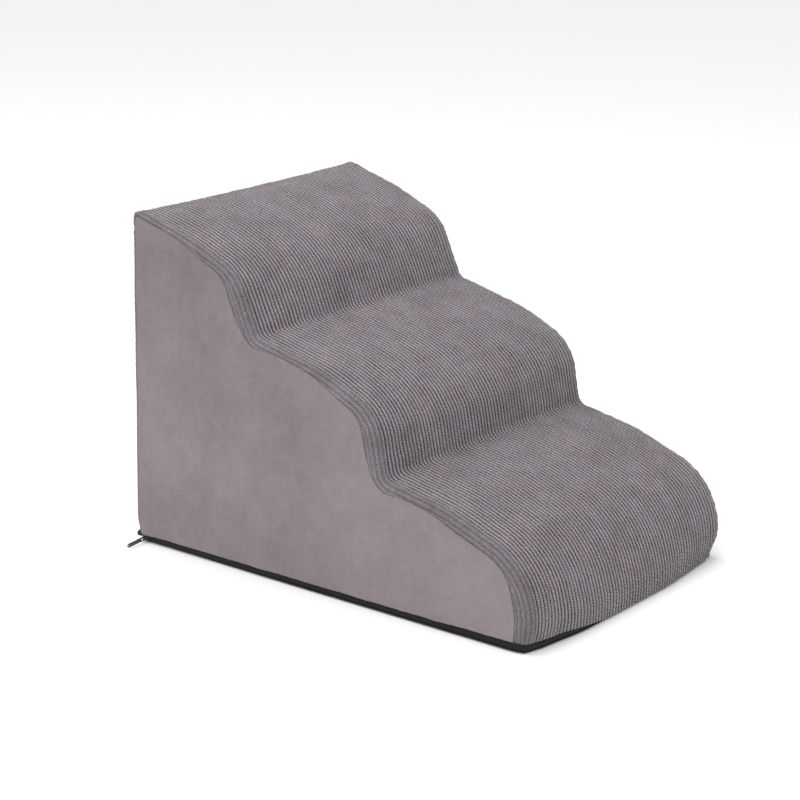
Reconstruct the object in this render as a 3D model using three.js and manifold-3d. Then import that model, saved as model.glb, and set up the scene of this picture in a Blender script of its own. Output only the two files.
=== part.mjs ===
// Dog ramp: a block of upholstery foam cut with three rounded steps, inside a sewn cover that comes off
// through a zip round its bottom edge. The ribbed cloth covers everything a dog walks on, plain plush
// covers the sides and the back, and the base is black non-slip cloth.
// Millimetres, +Z up. The origin is the middle of the footprint, on the floor. +X points to the low front
// end, where the dog steps on, and +Y is to the right of a dog that climbs towards -X.
import * as THREE from 'three';
import { mergeVertices } from 'three/addons/utils/BufferGeometryUtils.js';
import Module from 'manifold-3d';

const wasm = await Module();
wasm.setup();

// ---- Driving sizes of the whole ramp, over the cover ----
const LENGTH = 570;
const WIDTH = 400;
const HEIGHT = 400;
const EDGE_RADIUS = 11; // round between a side and everything the ribbed cloth covers
const BOTTOM_RADIUS = 3.6; // round between the walls and the base
const BACK_TOP_RADIUS = 18;

// Each step from its inner end to its nose: a tread that falls gently, a crown where it starts to fall
// faster, and a nose where it rolls over into the riser. A valley gives the inner end, from the back and
// from the floor, nose gives its run and its radius, and the last step's nose stands at the front. Slopes are
// falls per unit of run. seam is how far the side panels' seam lies in from the tread and from the riser.
const STEPS = [
  { valley: null, slope: 0.26, crownRun: 85, crownSlope: 0.42, nose: [154, 60], seam: [7, 18] },
  { valley: [185.7, 283.7], slope: 0.24, crownRun: 99, crownSlope: 0.47, nose: [168.5, 60], seam: [8, 19] },
  { valley: [369, 155], slope: 0.19, crownRun: 81, crownSlope: 0.37, nose: [null, 88], seam: [10, 21] },
];
const CROWN_RADIUS = 260;
const VALLEY_RADIUS = 13;

// ---- Cloth, foam and seams ----
const RIB_CLOTH = 2.4;
const PLUSH_CLOTH = 1.8;
const BASE_CLOTH = 1.2;
const GAP = 0.3; // between two pieces that touch
const FOAM_ROOM = 0.4; // between the zip tape and the foam
const FOAM_BOTTOM_RADIUS = 20; // the cover rounds the foam's lower edges
const BACK_SEAM_INSET = 4; // side panels' back seam, in from the back
const BACK_SEAM_DROP = 24; // top seam of the back panel, below the top of the ramp
const THREAD = 0.6;
const THREAD_GAP = 0.1; // between the thread and the cloth on each side of it

// ---- Zip, which runs along the left side, across the front and back along the right side ----
const COIL_WIDTH = 1.7;
const COIL_THICKNESS = 1.6;
const CHAIN_GAP = 0.9; // between the two rows of coil
const TAPE_THICKNESS = 0.6;
const TAPE_WIDTH = 12;
const TAPE_UNDER = 9.5; // how far the lower tape reaches in under the base
const STITCH_ROOM = 0.5; // between the hem and the tape behind it
const BACK_HEM_HEIGHT = 5.4; // where the base cloth meets the back panel
const ZIP_END_INSET = 6; // both ends of the tapes, in from the back
const STOP_LENGTH = 1.5;
const STOP_GRIP = 0.2; // how far a stop stands out past the coil

// ---- Slider and pull tab ----
const SLIDER = { length: 8.2, mouthWall: 1.0, tailWall: 0.7, plate: 1.1, backPlate: 0.8 };
const SLIDER_CLEARANCE = 0.35; // to the coil's faces and to the tape
const CHANNEL_CLEARANCE = 0.5; // between the coil's edges and the slider's flanges
const HEM_CLEARANCE = 0.4; // between the slider and the cloth above and below it
const WEB = { length: 2.0, thickness: 0.35 }; // parts the two rows, at the slider's mouth
const CROWN = { length: 6.2, width: 1.6, wall: 0.9, height: 2.8 }; // loop that holds the pull tab
const PULL = { length: 30, width: 5, thickness: 1.2, eyeBar: 1.1, eyeLength: 5.4, tipHole: 1, tilt: 4 };

// ---- What follows from those sizes: depths are below the cover's outer surface ----
const threadDepth = RIB_CLOTH + THREAD_GAP;
const tapeFront = RIB_CLOTH + STITCH_ROOM;
const tapeBack = tapeFront + TAPE_THICKNESS;
const coilBack = tapeFront - GAP;
const coilFront = coilBack - COIL_THICKNESS;
const foamInset = tapeBack + FOAM_ROOM;
const coilLow = Math.max(BOTTOM_RADIUS, tapeBack) + GAP; // above the round and the tape's turn
const coilHigh = coilLow + COIL_WIDTH + CHAIN_GAP;
const chainHeight = coilHigh - CHAIN_GAP / 2; // middle of the chain
const channelHeight = 2 * (COIL_WIDTH + CHANNEL_CLEARANCE) + CHAIN_GAP;
const sliderReach = channelHeight / 2 + SLIDER.mouthWall;
const hemHeight = chainHeight + sliderReach + HEM_CLEARANCE; // lower edge of the side and ribbed panels
const baseEdgeHeight = chainHeight - sliderReach - HEM_CLEARANCE; // upper edge of the base cloth
const zipEnd = -LENGTH / 2 + ZIP_END_INSET;

const BELOW = 40; // how far a cutting shape runs on past the part

// ---- Materials ----
function material(color, roughness, metalness = 0) {
  return new THREE.MeshStandardMaterial({ color, roughness, metalness });
}
const ribCloth = material(0x857f84, 0.95);
const plushCloth = material(0x938a8f, 0.95);
const baseCloth = material(0x2b2a2c, 0.9);
const foam = material(0xe9e2cf, 0.9);
const zipCloth = material(0x19191b, 0.85);
const zipPlastic = material(0x131315, 0.45);
const zipMetal = material(0x1c1c1e, 0.35, 0.6);
const thread = material(0x77727a, 0.8);

// ---- Solids ----
// The solid of a closed three.js geometry.
function solidOf(geometry) {
  const bare = new THREE.BufferGeometry().setAttribute('position', geometry.getAttribute('position'));
  bare.setIndex(geometry.index);
  const merged = mergeVertices(bare, 1e-4);
  return new wasm.Manifold(new wasm.Mesh({
    numProp: 3,
    vertProperties: merged.attributes.position.array,
    triVerts: new Uint32Array(merged.index.array),
  }));
}

// A named mesh of a solid.
function meshOf(name, solid, look) {
  const { vertProperties, triVerts } = solid.getMesh();
  const geometry = new THREE.BufferGeometry();
  geometry.setAttribute('position', new THREE.BufferAttribute(new Float32Array(vertProperties), 3));
  geometry.setIndex(new THREE.BufferAttribute(new Uint32Array(triVerts), 1));
  geometry.computeVertexNormals();
  const mesh = new THREE.Mesh(geometry, look);
  mesh.name = name;
  return mesh;
}

// A box between two corners.
function block(low, high) {
  const size = high.map((value, i) => value - low[i]);
  const box = new THREE.BoxGeometry(...size);
  box.translate(...low.map((value, i) => value + size[i] / 2));
  return solidOf(box);
}

// ---- Outlines, as corners { x, y, r } in clockwise order, so that the inside is on the right ----
// Moves the edge that leaves each corner inwards by that edge's inset, and eases the rounds to suit.
function insetCorners(corners, insets) {
  const count = corners.length;
  const edges = corners.map((from, i) => {
    const to = corners[(i + 1) % count];
    const along = new THREE.Vector2(to.x - from.x, to.y - from.y).normalize();
    const inwards = new THREE.Vector2(along.y, -along.x);
    return { along, point: new THREE.Vector2(from.x, from.y).addScaledVector(inwards, insets[i]) };
  });
  return corners.map((corner, i) => {
    const before = edges[(i + count - 1) % count];
    const after = edges[i];
    const between = after.point.clone().sub(before.point);
    const run = between.cross(after.along) / before.along.cross(after.along);
    const point = before.point.clone().addScaledVector(before.along, run);
    const convex = before.along.cross(after.along) < 0;
    const mean = (insets[(i + count - 1) % count] + insets[i]) / 2;
    return { x: point.x, y: point.y, r: Math.max(corner.r + (convex ? -mean : mean), 0.5) };
  });
}

// The closed shape through the corners, with an arc of each corner's radius.
function roundedShape(corners) {
  const shape = new THREE.Shape();
  const count = corners.length;
  corners.forEach((corner, i) => {
    const here = new THREE.Vector2(corner.x, corner.y);
    const back = new THREE.Vector2(corners[(i + count - 1) % count].x, corners[(i + count - 1) % count].y);
    const next = new THREE.Vector2(corners[(i + 1) % count].x, corners[(i + 1) % count].y);
    const arrive = here.clone().sub(back).normalize();
    const leave = next.clone().sub(here).normalize();
    const clockwise = arrive.cross(leave) < 0;
    const turn = Math.acos(THREE.MathUtils.clamp(arrive.dot(leave), -1, 1));
    const start = here.clone().addScaledVector(arrive, -corner.r * Math.tan(turn / 2));
    const side = clockwise ? 1 : -1;
    const centre = start.clone().add(new THREE.Vector2(arrive.y, -arrive.x).multiplyScalar(side * corner.r));
    const startAngle = Math.atan2(start.y - centre.y, start.x - centre.x);
    if (i === 0) shape.moveTo(start.x, start.y);
    else shape.lineTo(start.x, start.y);
    shape.absarc(centre.x, centre.y, corner.r, startAngle, startAngle - side * turn, clockwise);
  });
  shape.closePath();
  return shape;
}

// The side view of the ramp over its cover, running on below the floor so that the base cuts it off.
// seams says how far in from each edge the side panels' seam lies, starting from the same corner.
function sideOutline() {
  const back = -LENGTH / 2;
  const front = LENGTH / 2;
  const fall = Math.atan(STEPS[0].slope);
  const backTop = HEIGHT + BACK_TOP_RADIUS * (Math.tan(fall) + 1 / Math.cos(fall) - 1);
  const corners = [
    { x: back, y: -BELOW, r: EDGE_RADIUS + 1 },
    { x: back, y: backTop, r: BACK_TOP_RADIUS },
  ];
  const seams = [BACK_SEAM_INSET];
  for (const step of STEPS) {
    const start = step.valley ? { x: back + step.valley[0], y: step.valley[1] } : { x: back, y: backTop };
    const crown = { x: start.x + step.crownRun, y: start.y - step.slope * step.crownRun };
    const noseX = step.nose[0] === null ? front : start.x + step.nose[0];
    if (step.valley) corners.push({ ...start, r: VALLEY_RADIUS });
    corners.push({ ...crown, r: CROWN_RADIUS });
    corners.push({ x: noseX, y: crown.y - step.crownSlope * (noseX - crown.x), r: step.nose[1] });
    seams.push(step.seam[0], step.seam[0], step.seam[1]);
  }
  corners.push({ x: front, y: -BELOW, r: EDGE_RADIUS + 1 });
  seams.push(0);
  return { corners, seams };
}

const outline = sideOutline();

// A shape in the side view, extruded across the ramp from y = from to y = to.
function acrossSolid(shape, from, to, bevel = 0) {
  const geometry = new THREE.ExtrudeGeometry(shape, {
    depth: to - from - 2 * bevel,
    curveSegments: 4,
    bevelEnabled: bevel > 0,
    bevelThickness: bevel,
    bevelSize: bevel,
    bevelSegments: 4,
  });
  geometry.rotateX(Math.PI / 2);
  geometry.translate(0, to - bevel, 0);
  return solidOf(geometry);
}

// The rounded block of the whole ramp, with every surface moved in by inset.
function rampBlock(inset, bottom = inset, bottomRadius = Math.max(BOTTOM_RADIUS - inset, 0.5)) {
  const rim = EDGE_RADIUS - inset;
  const inner = insetCorners(outline.corners, outline.corners.map(() => EDGE_RADIUS));
  const steps = acrossSolid(roundedShape(inner), -WIDTH / 2 + inset, WIDTH / 2 - inset, rim);
  const x = LENGTH / 2 - inset - bottomRadius;
  const y = WIDTH / 2 - inset - bottomRadius;
  const r = Math.max(EDGE_RADIUS - inset - bottomRadius, 0.5);
  const plan = roundedShape([{ x: -x, y: -y, r }, { x: -x, y, r }, { x, y, r }, { x, y: -y, r }]);
  const walls = new THREE.ExtrudeGeometry(plan, {
    depth: HEIGHT + BELOW,
    curveSegments: 3,
    bevelThickness: bottomRadius,
    bevelSize: bottomRadius,
    bevelSegments: 4,
  });
  walls.translate(0, 0, bottom + bottomRadius);
  return steps.intersect(solidOf(walls));
}

// The skin between two depths below the cover's outer surface.
const skin = (outer, inner) => rampBlock(outer).subtract(rampBlock(inner));

// A slab of everything between two heights.
const heights = (low, high) => block([-LENGTH, -WIDTH, low], [LENGTH, WIDTH, high]);

// Everything within a distance of the left, front and right walls.
const nearWalls = (depth) => heights(-BELOW, HEIGHT + BELOW).subtract(block(
  [-LENGTH, -WIDTH / 2 + depth, -BELOW],
  [LENGTH / 2 - depth, WIDTH / 2 - depth, HEIGHT + BELOW],
));

// The prism that a side panel is cut from, grown by a margin, on the side given by sign.
function sidePrism(sign, grow) {
  const insets = outline.seams.map((inset) => inset - grow);
  const inside = WIDTH / 2 - EDGE_RADIUS - BACK_SEAM_INSET;
  const outside = WIDTH / 2 + BELOW;
  const span = sign < 0 ? [-outside, -inside] : [inside, outside];
  return acrossSolid(roundedShape(insetCorners(outline.corners, insets)), ...span);
}

// Everything behind the seams of the back panel, below its top seam.
function backBlock(grow) {
  const seam = -LENGTH / 2 + BACK_SEAM_INSET + grow;
  return block([-LENGTH, -WIDTH, -BELOW], [seam, WIDTH, HEIGHT - BACK_SEAM_DROP + grow]);
}

// ---- Foam ----
function foamCore() {
  const block = rampBlock(foamInset, BASE_CLOTH + GAP, FOAM_BOTTOM_RADIUS);
  return meshOf('foam_core', block, foam);
}

// ---- Cover ----
function coverPanels() {
  // Above the zip band, and at the back, where there is no zip, above the base seam.
  const aboveZip = heights(hemHeight, HEIGHT + BELOW);
  const aboveSeam = heights(BACK_HEM_HEIGHT + GAP / 2, HEIGHT + BELOW);
  const behindZip = block([-LENGTH, -WIDTH, -BELOW], [zipEnd - 1, WIDTH, HEIGHT + BELOW]);
  const above = aboveZip.add(aboveSeam.intersect(behindZip));
  const plushSkin = skin(0, PLUSH_CLOTH).intersect(above);
  const panels = [-1, 1].map((sign) => {
    const name = sign < 0 ? 'left_side_panel' : 'right_side_panel';
    return meshOf(name, plushSkin.intersect(sidePrism(sign, 0)), plushCloth);
  });
  const backPanel = plushSkin.intersect(backBlock(-GAP));
  const ribbed = skin(0, RIB_CLOTH).intersect(aboveZip)
    .subtract(sidePrism(-1, GAP)).subtract(sidePrism(1, GAP)).subtract(backBlock(0));
  const below = heights(-BELOW, baseEdgeHeight)
    .add(heights(-BELOW, BACK_HEM_HEIGHT - GAP / 2).intersect(behindZip));
  const base = skin(0, BASE_CLOTH).intersect(below);
  return [
    ...panels,
    meshOf('back_panel', backPanel, plushCloth),
    meshOf('ribbed_top_panel', ribbed, ribCloth),
    meshOf('non_slip_base_panel', base, baseCloth),
  ];
}

// ---- Sewing thread, one run in each seam, on the inside of the cover ----
function seamThreads() {
  const layer = skin(threadDepth, threadDepth + THREAD);
  const half = THREAD / 2;
  const seamX = -LENGTH / 2 + BACK_SEAM_INSET;
  const threads = [];
  for (const [sign, side] of [[-1, 'left'], [1, 'right']]) {
    const run = layer.intersect(sidePrism(sign, half).subtract(sidePrism(sign, -half)))
      .intersect(heights(hemHeight + TAPE_WIDTH, HEIGHT));
    const corner = block([-LENGTH, -WIDTH, -BELOW], [seamX + 2, WIDTH, HEIGHT - BACK_SEAM_DROP - 1]);
    threads.push(meshOf(`thread_${side}_back_seam`, run.intersect(corner), thread));
    const rest = block([seamX + 2 + GAP, -WIDTH, -BELOW], [LENGTH, WIDTH, HEIGHT]);
    threads.push(meshOf(`thread_${side}_top_seam`, run.intersect(rest), thread));
  }
  const inside = WIDTH / 2 - EDGE_RADIUS;
  const backRun = (z) => block([-LENGTH, -inside, z - half], [seamX + 2, inside, z + half]).intersect(layer);
  threads.push(meshOf('thread_back_top_seam', backRun(HEIGHT - BACK_SEAM_DROP), thread));
  threads.push(meshOf('thread_base_back_seam', backRun(BACK_HEM_HEIGHT + 1.2), thread));
  return threads;
}

// ---- Zip ----
const fromEnd = (x, low, high) => block([x, -WIDTH, low], [LENGTH, WIDTH, high]);

function zipTapes() {
  const tape = skin(tapeFront, tapeBack);
  const upper = tape.intersect(fromEnd(zipEnd, coilHigh, coilHigh + TAPE_WIDTH));
  const lower = tape.intersect(fromEnd(zipEnd, -BELOW, coilLow + COIL_WIDTH))
    .intersect(nearWalls(TAPE_UNDER));
  return [meshOf('zip_tape_upper', upper, zipCloth), meshOf('zip_tape_lower', lower, zipCloth)];
}

// Both rows of coil, with a stop crimped on each at the left end and one across both at the right end.
const stopStart = zipEnd + STOP_LENGTH + GAP;

function zipRows() {
  const coil = skin(coilFront, coilBack);
  const row = (low) => coil.intersect(fromEnd(stopStart + STOP_LENGTH, low, low + COIL_WIDTH));
  const stopSkin = skin(coilFront - STOP_GRIP, coilBack);
  const stopEnd = stopStart + STOP_LENGTH - GAP;
  const stop = (near, far, low, high) => stopSkin.intersect(
    block([stopStart, near, low], [stopEnd, far, high]),
  );
  return [
    meshOf('zip_coil_upper', row(coilHigh), zipPlastic),
    meshOf('zip_coil_lower', row(coilLow), zipPlastic),
    meshOf('zip_top_stop_upper', stop(-WIDTH, 0, coilHigh, coilHigh + COIL_WIDTH), zipMetal),
    meshOf('zip_top_stop_lower', stop(-WIDTH, 0, coilLow, coilLow + COIL_WIDTH), zipMetal),
    meshOf('zip_bottom_stop', stop(0, WIDTH, coilLow, coilHigh + COIL_WIDTH), zipMetal),
  ];
}

// Thread that holds the upper tape to the hem and the lower tape to the base.
function zipThreads() {
  const hem = skin(threadDepth, tapeFront - THREAD_GAP)
    .intersect(fromEnd(zipEnd + GAP, hemHeight + 3 - THREAD / 2, hemHeight + 3 + THREAD / 2));
  const base = skin(BASE_CLOTH + GAP, tapeFront - GAP)
    .intersect(fromEnd(zipEnd + GAP, -BELOW, tapeFront))
    .intersect(nearWalls(TAPE_UNDER - 1)).subtract(nearWalls(TAPE_UNDER - 1 - THREAD));
  return [meshOf('thread_zip_upper', hem, thread), meshOf('thread_zip_lower', base, thread)];
}

// ---- Slider, parked against the top stops, with its mouth towards them ----
const sliderX = stopStart + STOP_LENGTH + GAP + SLIDER.length / 2;
const wallY = -WIDTH / 2;
const plateY = wallY + coilFront - SLIDER_CLEARANCE - SLIDER.plate; // outer face of the front plate

// A loop from the front plate outwards, with room under it for the pull tab's eye.
function sliderCrown() {
  const { length, width, wall, height } = CROWN;
  const shape = new THREE.Shape();
  shape.moveTo(-length / 2, -0.5).lineTo(-length / 2, height - 1.2);
  shape.quadraticCurveTo(-length / 2, height, -length / 2 + 1.6, height);
  shape.lineTo(length / 2 - 1.6, height);
  shape.quadraticCurveTo(length / 2, height, length / 2, height - 1.2);
  shape.lineTo(length / 2, -0.5).lineTo(length / 2 - wall, -0.5);
  shape.lineTo(length / 2 - wall, height - wall).lineTo(wall - length / 2, height - wall);
  shape.lineTo(wall - length / 2, -0.5);
  const loop = new THREE.ExtrudeGeometry(shape, { depth: width, curveSegments: 4, bevelEnabled: false });
  loop.applyMatrix4(new THREE.Matrix4().makeBasis(
    new THREE.Vector3(1, 0, 0), new THREE.Vector3(0, -1, 0), new THREE.Vector3(0, 0, -1),
  ));
  loop.translate(sliderX, plateY, chainHeight + width / 2);
  return solidOf(loop);
}

// Front plate with a flange over each row of coil, a web between the rows, and a back plate.
function sliderBody() {
  const { length, mouthWall, tailWall, plate, backPlate } = SLIDER;
  const mouth = channelHeight / 2 + mouthWall;
  const tail = channelHeight / 2 + tailWall;
  const body = roundedShape([
    { x: sliderX - length / 2, y: chainHeight - mouth, r: 1.5 },
    { x: sliderX - length / 2, y: chainHeight + mouth, r: 1.5 },
    { x: sliderX + length / 2, y: chainHeight + tail, r: 1.2 },
    { x: sliderX + length / 2, y: chainHeight - tail, r: 1.2 },
  ]);
  const flangeEnd = wallY + tapeFront - SLIDER_CLEARANCE;
  const backStart = wallY + tapeBack + SLIDER_CLEARANCE;
  const shell = acrossSolid(body, plateY, flangeEnd, 0.25);
  const channel = block(
    [sliderX - length, plateY + plate, chainHeight - channelHeight / 2],
    [sliderX + length, flangeEnd + 1, chainHeight + channelHeight / 2],
  );
  const webStart = sliderX - length / 2 + 0.6;
  const web = block(
    [webStart, plateY + plate / 2, chainHeight - WEB.thickness / 2],
    [webStart + WEB.length, backStart + backPlate / 2, chainHeight + WEB.thickness / 2],
  );
  const back = block(
    [sliderX - length / 2 + 0.3, backStart, coilLow - GAP / 2],
    [sliderX + length / 2 - 0.3, backStart + backPlate, coilHigh + COIL_WIDTH + GAP / 2],
  );
  return meshOf('slider_body', shell.subtract(channel).add(web).add(back).add(sliderCrown()), zipMetal);
}

// Pull tab, standing straight out from the crown it turns on, with its tip a little low.
function pullTab() {
  const { length, width, thickness, eyeBar, eyeLength, tipHole, tilt } = PULL;
  const root = -eyeBar / 2;
  const shape = roundedShape([
    { x: root, y: -width / 2, r: 1.1 },
    { x: root, y: width / 2, r: 1.1 },
    { x: root + length, y: width / 2, r: width / 2 - 0.05 },
    { x: root + length, y: -width / 2, r: width / 2 - 0.05 },
  ]);
  const eye = roundedShape([
    { x: eyeBar / 2, y: -width / 2 + eyeBar, r: 0.5 },
    { x: eyeBar / 2, y: width / 2 - eyeBar, r: 0.5 },
    { x: eyeBar / 2 + eyeLength, y: width / 2 - eyeBar, r: 1.4 },
    { x: eyeBar / 2 + eyeLength, y: -width / 2 + eyeBar, r: 1.4 },
  ]);
  const slab = (outlineShape, depth) => {
    const plate = new THREE.ExtrudeGeometry(outlineShape, { depth, curveSegments: 6, bevelEnabled: false });
    return solidOf(plate.translate(0, 0, -depth / 2));
  };
  const hole = new THREE.CylinderGeometry(tipHole, tipHole, 3 * thickness, 16).rotateX(Math.PI / 2);
  hole.translate(root + length - width / 2, 0, 0);
  const tab = slab(shape, thickness).subtract(slab(eye, 3 * thickness)).subtract(solidOf(hole));
  // Turned so that its length points away from the ramp, and tipped down.
  const drop = Math.sin(THREE.MathUtils.degToRad(tilt));
  const reach = Math.cos(THREE.MathUtils.degToRad(tilt));
  const placed = new THREE.Matrix4().makeBasis(
    new THREE.Vector3(0, -reach, -drop), new THREE.Vector3(0, -drop, reach), new THREE.Vector3(-1, 0, 0),
  );
  placed.setPosition(sliderX, plateY - (CROWN.height - CROWN.wall) / 2, chainHeight);
  return meshOf('pull_tab', tab.transform(placed.elements), zipMetal);
}

const ramp = new THREE.Group();
ramp.add(foamCore(), ...coverPanels(), ...seamThreads(), ...zipTapes(), ...zipRows(), ...zipThreads());
ramp.add(sliderBody(), pullTab());

export default ramp;
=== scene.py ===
import math

import bpy
import numpy as np
from mathutils import Matrix, Vector
from mathutils.kdtree import KDTree


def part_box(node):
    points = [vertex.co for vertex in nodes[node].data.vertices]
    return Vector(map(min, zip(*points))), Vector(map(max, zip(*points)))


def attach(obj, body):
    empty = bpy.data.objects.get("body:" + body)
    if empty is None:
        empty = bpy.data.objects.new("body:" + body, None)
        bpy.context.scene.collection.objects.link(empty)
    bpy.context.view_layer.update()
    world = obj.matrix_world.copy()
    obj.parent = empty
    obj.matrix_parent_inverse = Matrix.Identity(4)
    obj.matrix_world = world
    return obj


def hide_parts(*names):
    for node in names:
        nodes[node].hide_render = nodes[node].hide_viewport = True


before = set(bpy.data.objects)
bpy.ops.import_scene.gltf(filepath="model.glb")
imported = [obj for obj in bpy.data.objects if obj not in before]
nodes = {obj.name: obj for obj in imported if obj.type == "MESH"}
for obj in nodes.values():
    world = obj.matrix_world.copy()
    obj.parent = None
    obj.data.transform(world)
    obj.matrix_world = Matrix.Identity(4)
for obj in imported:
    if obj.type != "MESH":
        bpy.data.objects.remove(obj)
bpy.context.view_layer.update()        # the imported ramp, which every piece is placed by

mm = 0.001


# camera, floor and lights

cameraSetup = {
    "azimuth": 36.9, "elevation": 16.8, "roll": 1.0,  # degrees
    "distance": 2.7716, "target": (0.0026, -0.0632, 0.2), "lens": 108.56,
}
lightSetup = {
    "sky": 0.93, "aim": (0, 0, 0.2), "paper": (0.92, 0.92, 0.92, 1), "floor": 14,
    "areas": {  # place, width and power of each soft box, all turned to the middle of the ramp
        "keySoftBox": ((0.2, -2.6, 1.3), 2.2, 38),
        "topSoftBox": ((-0.6, -0.2, 2.6), 2.0, 36),
        "frontSoftBox": ((2.6, -0.6, 1.2), 1.6, 4),
    },
}


def placeCamera():
    azimuth, elevation, roll = (math.radians(cameraSetup[k]) for k in ("azimuth", "elevation", "roll"))
    back = np.array([math.sin(azimuth) * math.cos(elevation), -math.cos(azimuth) * math.cos(elevation),
                     math.sin(elevation)])
    right = np.array([math.cos(azimuth), math.sin(azimuth), 0.0])
    up = np.cross(back, right)
    tiltedRight = right * math.cos(roll) + up * math.sin(roll)
    tiltedUp = up * math.cos(roll) - right * math.sin(roll)
    bpy.ops.object.camera_add()
    camera = bpy.context.object
    turn = Matrix([tiltedRight, tiltedUp, back]).transposed().to_4x4()
    place = np.array(cameraSetup["target"]) + back * cameraSetup["distance"]
    camera.matrix_world = Matrix.Translation(place) @ turn
    camera.data.lens = cameraSetup["lens"]
    camera.data.sensor_width = 36
    camera.data.clip_end = 50
    bpy.context.scene.camera = camera


def placeFloorAndLights():
    bpy.ops.mesh.primitive_plane_add(size=lightSetup["floor"])
    floor = bpy.context.object
    floor.name = "studioFloor"
    paper = bpy.data.materials.new("studioPaper")
    paper.use_nodes = True
    paper.node_tree.nodes["Principled BSDF"].inputs["Base Color"].default_value = lightSetup["paper"]
    paper.node_tree.nodes["Principled BSDF"].inputs["Roughness"].default_value = 0.9
    floor.data.materials.append(paper)
    world = bpy.data.worlds.new("studioSky")
    bpy.context.scene.world = world
    world.use_nodes = True
    world.node_tree.nodes["Background"].inputs["Color"].default_value = (1, 1, 1, 1)
    world.node_tree.nodes["Background"].inputs["Strength"].default_value = lightSetup["sky"]
    for name, (place, width, power) in lightSetup["areas"].items():
        bpy.ops.object.light_add(type="AREA", location=place)
        lamp = bpy.context.object
        lamp.name = name
        lamp.data.size = width
        lamp.data.energy = power
        aim = Vector(lightSetup["aim"]) - lamp.location
        lamp.rotation_euler = aim.to_track_quat("-Z", "Y").to_euler()
    bpy.context.scene.view_settings.view_transform = "Standard"


# small helpers

def selectOnly(piece):
    bpy.ops.object.select_all(action="DESELECT")
    piece.select_set(True)
    bpy.context.view_layer.objects.active = piece


def takeCopy(nodeName, name):
    # an own copy of a CAD node's mesh, with its doubles merged
    copy = bpy.data.objects.new(name, nodes[nodeName].data.copy())
    bpy.context.scene.collection.objects.link(copy)
    copy.data.materials.clear()
    selectOnly(copy)
    bpy.ops.object.mode_set(mode="EDIT")
    bpy.ops.mesh.select_all(action="SELECT")
    bpy.ops.mesh.remove_doubles(threshold=1e-5)
    bpy.ops.object.mode_set(mode="OBJECT")
    return copy


def applyModifier(piece, kind, **settings):
    modifier = piece.modifiers.new(kind.title(), kind)
    for key, value in settings.items():
        setattr(modifier, key, value)
    selectOnly(piece)
    bpy.ops.object.modifier_apply(modifier=modifier.name)


def repeatAlong(piece, step, count):
    applyModifier(piece, "ARRAY", count=count, use_relative_offset=False, use_constant_offset=True,
                  constant_offset_displace=step)


def pointsOf(mesh):
    flat = np.zeros(len(mesh.vertices) * 3)
    mesh.vertices.foreach_get("co", flat)
    return flat.reshape(-1, 3)


def setPoints(mesh, points):
    mesh.vertices.foreach_set("co", np.ascontiguousarray(points, dtype=np.float32).ravel())
    mesh.update()


def smoothStep(low, high, value):
    t = np.clip((value - low) / (high - low), 0, 1)
    return t * t * (3 - 2 * t)


def wander(points, wavelength, seed):
    # a smooth wandering value between about -1 and 1
    draw = np.random.default_rng(seed)
    points = np.asarray(points)
    total = np.zeros(points.shape[:-1])
    for _ in range(7):
        direction = draw.normal(size=points.shape[-1])
        direction /= np.linalg.norm(direction)
        step = wavelength * draw.uniform(0.6, 1.5)
        total += np.sin(2 * math.pi * (points @ direction) / step + draw.uniform(0, 2 * math.pi))
    return total / 3.2


# outline of the ramp, seen from the side

outlineShape = {  # millimetres; the same steps as the CAD cover
    "edgeRound": 11, "backTopRound": 9, "backTopRise": 5.3, "crownRound": 260, "valleyRound": 13,
    "steps": [  # inner end from the back and the floor, slopes, run to the crown, run and round of the nose
        {"valley": None, "slope": 0.26, "crownRun": 85, "crownSlope": 0.42, "nose": (154, 60),
         "seam": (7, 13, 20)},
        {"valley": (185.7, 283.7), "slope": 0.24, "crownRun": 99, "crownSlope": 0.47, "nose": (168.5, 60),
         "seam": (8, 14, 20)},
        {"valley": (369, 155), "slope": 0.19, "crownRun": 81, "crownSlope": 0.37, "nose": (None, 88),
         "seam": (10, 15, 23)},
    ],
    "backSeam": 4,
    "seamEase": 17,  # how softly the seam changes its distance from the outline
    "backEdgeRound": 3.6, "backRoundReach": (10, 70),  # the edges are sharper near the back
}
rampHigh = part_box("ribbed_top_panel")[1]
backX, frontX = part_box("back_panel")[0].x, rampHigh.x
halfWidth, topZ = rampHigh.y, rampHigh.z
edgeRound = outlineShape["edgeRound"] * mm
flatHalf = halfWidth - edgeRound  # the ribs are full up to here


def outlineCorners():
    # x, z, round and the seam's distance from the line that leaves the corner
    steps = outlineShape["steps"]
    topRound = outlineShape["backTopRound"] * mm
    backTop = topZ + outlineShape["backTopRise"] * mm
    corners = [(backX, 0, 0, outlineShape["backSeam"]), (backX, backTop, topRound, steps[0]["seam"][0])]
    for step in steps:
        if step["valley"]:
            startX, startZ = backX + step["valley"][0] * mm, step["valley"][1] * mm
            corners.append((startX, startZ, outlineShape["valleyRound"] * mm, step["seam"][0]))
        else:
            startX, startZ = backX, backTop
        crownX = startX + step["crownRun"] * mm
        crownZ = startZ - step["slope"] * step["crownRun"] * mm
        noseX = frontX if step["nose"][0] is None else startX + step["nose"][0] * mm
        noseZ = crownZ - step["crownSlope"] * (noseX - crownX)
        corners.append((crownX, crownZ, outlineShape["crownRound"] * mm, step["seam"][1]))
        corners.append((noseX, noseZ, step["nose"][1] * mm, step["seam"][2]))
    return corners + [(frontX, 0, 0, 0)]


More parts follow.
